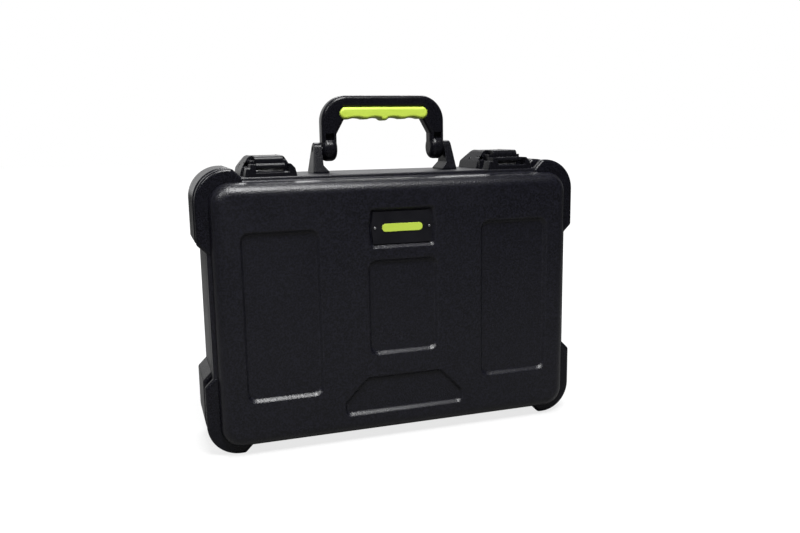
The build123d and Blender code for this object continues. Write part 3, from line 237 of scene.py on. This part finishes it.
FINISHES = {
    "shell_plastic": moulded_plastic(
        "shell_plastic", color=(0.0017, 0.0017, 0.0028), worn=(0.044, 0.045, 0.054),
        grain=620.0, depth=0.00032, rough=0.32, level=0.38, soften=0.003,
    ),
    "bumper_plastic": moulded_plastic(
        "bumper_plastic", color=(0.0014, 0.0014, 0.0022), worn=(0.028, 0.029, 0.035),
        grain=900.0, depth=0.0001, rough=0.26, level=0.26,
    ),
    "hardware_plastic": moulded_plastic(
        "hardware_plastic", color=(0.0014, 0.0014, 0.0020), worn=(0.026, 0.026, 0.032),
        grain=1100.0, depth=0.0001, rough=0.25, level=0.18,
    ),
    "plate_plastic": gloss_plate(),
    "lime_plastic": lime_plastic(),
    "valance_aluminium": brushed_metal(
        "valance_aluminium", color=(0.60, 0.61, 0.62), dark=(0.42, 0.43, 0.44),
        rough=0.34, direction=(6, 900, 6),
    ),
    "plain_steel": brushed_metal(
        "plain_steel", color=(0.52, 0.52, 0.53), dark=(0.33, 0.33, 0.34),
        rough=0.36, direction=(12, 700, 700),
    ),
    "fastener_steel": brushed_metal(
        "fastener_steel", color=(0.44, 0.44, 0.45), dark=(0.24, 0.24, 0.25),
        rough=0.40, direction=(300, 300, 300), wear=0.8,
    ),
    "foam": foam_material("foam", color=(0.020, 0.020, 0.023), pale=(0.034, 0.034, 0.037)),
}

for row in frame["record"]["subparts"]:
    node = NODES[row["node"]]
    node.data.materials.clear()
    node.data.materials.append(FINISHES[row["material_slot"]])


# ------------------------------------------------------------------ helpers for new pieces
def piece(name, mesh, body, slot):
    """A new piece that rides on a body and takes a slot's finish."""
    obj = bpy.data.objects.new(name, mesh)
    bpy.context.scene.collection.objects.link(obj)
    obj.data.materials.clear()
    obj.data.materials.append(FINISHES[slot])
    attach(obj, body)
    return obj


def shade_smooth(mesh, angle=35):
    """Smooth faces, with the edges sharper than the angle kept crisp."""
    mesh.polygons.foreach_set("use_smooth", [True] * len(mesh.polygons))
    mesh.set_sharp_from_angle(angle=math.radians(angle))


# ------------------------------------------------------------------ foams
def fold(edge):
    """The angle between an edge's two faces, or None for an edge that hasn't two."""
    return edge.calc_face_angle(0) if len(edge.link_faces) == 2 else None


def cut_foam(name, node):
    """Cut foam with softened edges, in the place of a CAD solid."""
    weld, edge_width = 1e-5, 0.0016
    mesh = NODES[node].data.copy()
    bm = bmesh.new()
    bm.from_mesh(mesh)
    bmesh.ops.remove_doubles(bm, verts=bm.verts, dist=weld)
    flat = [e for e in bm.edges if fold(e) is not None and fold(e) < math.radians(4)]
    bmesh.ops.dissolve_edges(bm, edges=flat, use_verts=False)
    rims = [e for e in bm.edges if fold(e) is not None and fold(e) > math.radians(60)]
    bmesh.ops.bevel(
        bm, geom=rims, offset=edge_width, segments=3, profile=0.5, affect="EDGES", clamp_overlap=True
    )
    bm.to_mesh(mesh)
    bm.free()
    shade_smooth(mesh, 40)
    obj = piece(name, mesh, "base", "foam")
    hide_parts(node)
    return obj


def outline(grid):
    """The points round a grid's border, in order."""
    right_side = [row[-1] for row in grid[:-1]]
    left_side = [row[0] for row in grid[:0:-1]]
    return grid[0][:-1] + right_side + grid[-1][:0:-1] + left_side


def egg_crate(name, node):
    """Convoluted foam: rows of soft peaks that reach the CAD solid's inner face, its highest Y."""
    pitch, valley, step = 0.030, 0.011, 0.0024  # from peak to peak, depth between them, mesh spacing
    corner = 0.018  # radius of the sheet's four corners
    rim_drop, rim_width = 0.002, 0.004
    row_z = 0.159  # height of one row of peaks
    low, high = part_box(node)
    columns = round((high.x - low.x) / step)
    rows = round((high.z - low.z) / step)
    bm = bmesh.new()

    def inside(x, z):
        """The point, drawn in where it lies outside a rounded corner."""
        cx = min(max(x, low.x + corner), high.x - corner)
        cz = min(max(z, low.z + corner), high.z - corner)
        reach = math.hypot(x - cx, z - cz)
        if reach > corner:
            x, z = cx + (x - cx) * corner / reach, cz + (z - cz) * corner / reach
        return x, z

    grids = []
    for front in (True, False):
        grid = []
        for j in range(rows + 1):
            line = []
            for i in range(columns + 1):
                x = low.x + (high.x - low.x) * i / columns
                z = low.z + (high.z - low.z) * j / rows
                x, z = inside(x, z)
                border = min(x - low.x, high.x - x, z - low.z, high.z - z)
                across = math.cos(2 * math.pi * x / pitch)
                wave = across * math.cos(2 * math.pi * (z - row_z) / pitch)
                soft = 0.5 - 0.5 * wave
                drop = valley * (soft * soft * (3 - 2 * soft))
                drop = max(drop, rim_drop * max(0.0, 1 - border / rim_width) ** 2)
                line.append(bm.verts.new((x, high.y - drop if front else low.y, z)))
            grid.append(line)
        grids.append(grid)
    for grid, flip in zip(grids, (True, False)):
        for j in range(rows):
            for i in range(columns):
                corners = (grid[j][i], grid[j][i + 1], grid[j + 1][i + 1], grid[j + 1][i])
                bm.faces.new(corners[::-1] if flip else corners)
    front, back = grids
    loop_f, loop_b = outline(front), outline(back)
    for k in range(len(loop_f)):
        n = (k + 1) % len(loop_f)
        bm.faces.new((loop_f[k], loop_f[n], loop_b[n], loop_b[k]))
    bmesh.ops.recalc_face_normals(bm, faces=bm.faces)
    mesh = bpy.data.meshes.new(name)
    bm.to_mesh(mesh)
    bm.free()
    shade_smooth(mesh, 60)
    obj = piece(name, mesh, "lid", "foam")
    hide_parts(node)
    return obj


cut_foam("microphone_tray_foam", "base_foam_tray")
cut_foam("backing_foam", "base_foam_backing")
egg_crate("egg_crate_foam", "lid_foam")


# ------------------------------------------------------------------ camera
CAMERA_PLACE = (-0.2793, -0.8960, 0.3537)
YAW, PITCH, ROLL = math.radians(18.34), math.radians(9.76), math.radians(-0.9)
forward = Vector((math.sin(YAW) * math.cos(PITCH), math.cos(YAW) * math.cos(PITCH), -math.sin(PITCH)))
right = Vector((math.cos(YAW), -math.sin(YAW), 0))
up = right.cross(forward)
tilted_right = right * math.cos(ROLL) + up * math.sin(ROLL)
tilted_up = up * math.cos(ROLL) - right * math.sin(ROLL)
lens = bpy.data.cameras.new("camera")
lens.sensor_width = 36.0
lens.lens = 35.27
lens.clip_start = 0.01
camera = bpy.data.objects.new("camera", lens)
bpy.context.scene.collection.objects.link(camera)
axes = Matrix((tilted_right, tilted_up, -forward)).transposed()
camera.matrix_world = Matrix.Translation(CAMERA_PLACE) @ axes.to_4x4()
bpy.context.scene.camera = camera


# ------------------------------------------------------------------ floor, world and lamps
def floor_material():
    """Grey floor that glows for camera and transmission rays, so that it looks white there.

    The glow is weaker near the object, where the object's shadow shows.
    """
    ramp_length = 2.0  # metres from the origin to the end of the glow's ramp
    m = Nodes("floor")
    tone = m.ramp(m.noise(300.0, 3.0), ((0.3, 0.15), (0.7, 0.18)))
    distance = m.add("ShaderNodeVectorMath", operation="LENGTH")
    m.link(m.coordinates, distance.inputs[0])
    share = m.math("DIVIDE", distance.outputs["Value"], ramp_length)
    white = m.ramp(share, ((0.18, 0.78), (0.5, 1.0)))
    path = m.add("ShaderNodeLightPath")
    seen = m.math("MAXIMUM", path.outputs["Is Camera Ray"], path.outputs["Is Transmission Ray"])
    m.link(m.math("MULTIPLY", white, seen), m.shader.inputs["Emission Strength"])
    return m.finish(tone, 0.7, Emission_Color=(1, 1, 1, 1), Specular_IOR_Level=0.1)


FLOOR_REACH = 9  # metres from the origin to the floor's outer edges


def floor_piece(name, start, end, body, material):
    """A strip of the floor from one Y to another."""
    mesh = bpy.data.meshes.new(name)
    left, right = -FLOOR_REACH, FLOOR_REACH
    corners = [(left, start, 0), (right, start, 0), (right, end, 0), (left, end, 0)]
    mesh.from_pydata(corners, [], [(0, 1, 2, 3)])
    mesh.materials.append(material)
    obj = bpy.data.objects.new(name, mesh)
    bpy.context.scene.collection.objects.link(obj)
    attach(obj, body)


# The lid swings down in front of the case, below the level of its feet, so the front of the floor
# swings away with it.
parting_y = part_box("base_valance")[0].y
FLOOR = floor_material()
floor_piece("floor_front", -FLOOR_REACH, parting_y, "lid", FLOOR)
floor_piece("floor_back", parting_y, FLOOR_REACH, "base", FLOOR)

# The world is white to camera and transmission rays. To other rays it is a studio that is dim all
# round, apart from behind the case.
world = bpy.data.worlds.new("studio")
bpy.context.scene.world = world
world.use_nodes = True
sky = world.node_tree
background = sky.nodes["Background"]
background.inputs["Color"].default_value = (1, 1, 1, 1)
path = sky.nodes.new("ShaderNodeLightPath")
seen = sky.nodes.new("ShaderNodeMath")
seen.operation = "MAXIMUM"
direction = sky.nodes.new("ShaderNodeTexCoord")
split = sky.nodes.new("ShaderNodeSeparateXYZ")
studio = sky.nodes.new("ShaderNodeMapRange")
studio.inputs["From Min"].default_value = 0.1
studio.inputs["From Max"].default_value = 0.95
studio.inputs["To Min"].default_value = 0.05
studio.inputs["To Max"].default_value = 0.60
strength = sky.nodes.new("ShaderNodeMix")
strength.inputs["B"].default_value = 1.0
sky.links.new(direction.outputs["Generated"], split.inputs["Vector"])
sky.links.new(split.outputs["Y"], studio.inputs["Value"])
sky.links.new(path.outputs["Is Camera Ray"], seen.inputs[0])
sky.links.new(path.outputs["Is Transmission Ray"], seen.inputs[1])
sky.links.new(seen.outputs["Value"], strength.inputs["Factor"])
sky.links.new(studio.outputs["Result"], strength.inputs["A"])
sky.links.new(strength.outputs["Result"], background.inputs["Strength"])


def lamp(name, place, target, width, height, power):
    """A soft rectangular lamp that faces a target."""
    data = bpy.data.lights.new(name, "AREA")
    data.shape = "RECTANGLE"
    data.size = width
    data.size_y = height
    data.energy = power
    obj = bpy.data.objects.new(name, data)
    bpy.context.scene.collection.objects.link(obj)
    obj.location = place
    obj.rotation_euler = (Vector(target) - Vector(place)).to_track_quat("-Z", "Y").to_euler()


# Name, place, target, width, height and watts. They were fitted to the photograph's view, so they don't
# light every side alike.
lamp("key", (-0.04, -1.05, 1.85), (-0.05, 0, 0.2), 0.75, 0.60, 50)
lamp("top", (-0.18, -0.36, 1.50), (-0.15, -0.1, 0.3), 0.60, 0.34, 9)
lamp("side", (-1.2, -0.9, 1.5), (0, 0, 0.2), 0.5, 0.5, 12)
lamp("back", (0.35, 1.30, 1.80), (0, 0.2, 0.1), 1.2, 0.9, 28)

bpy.context.scene.view_settings.view_transform = "Standard"
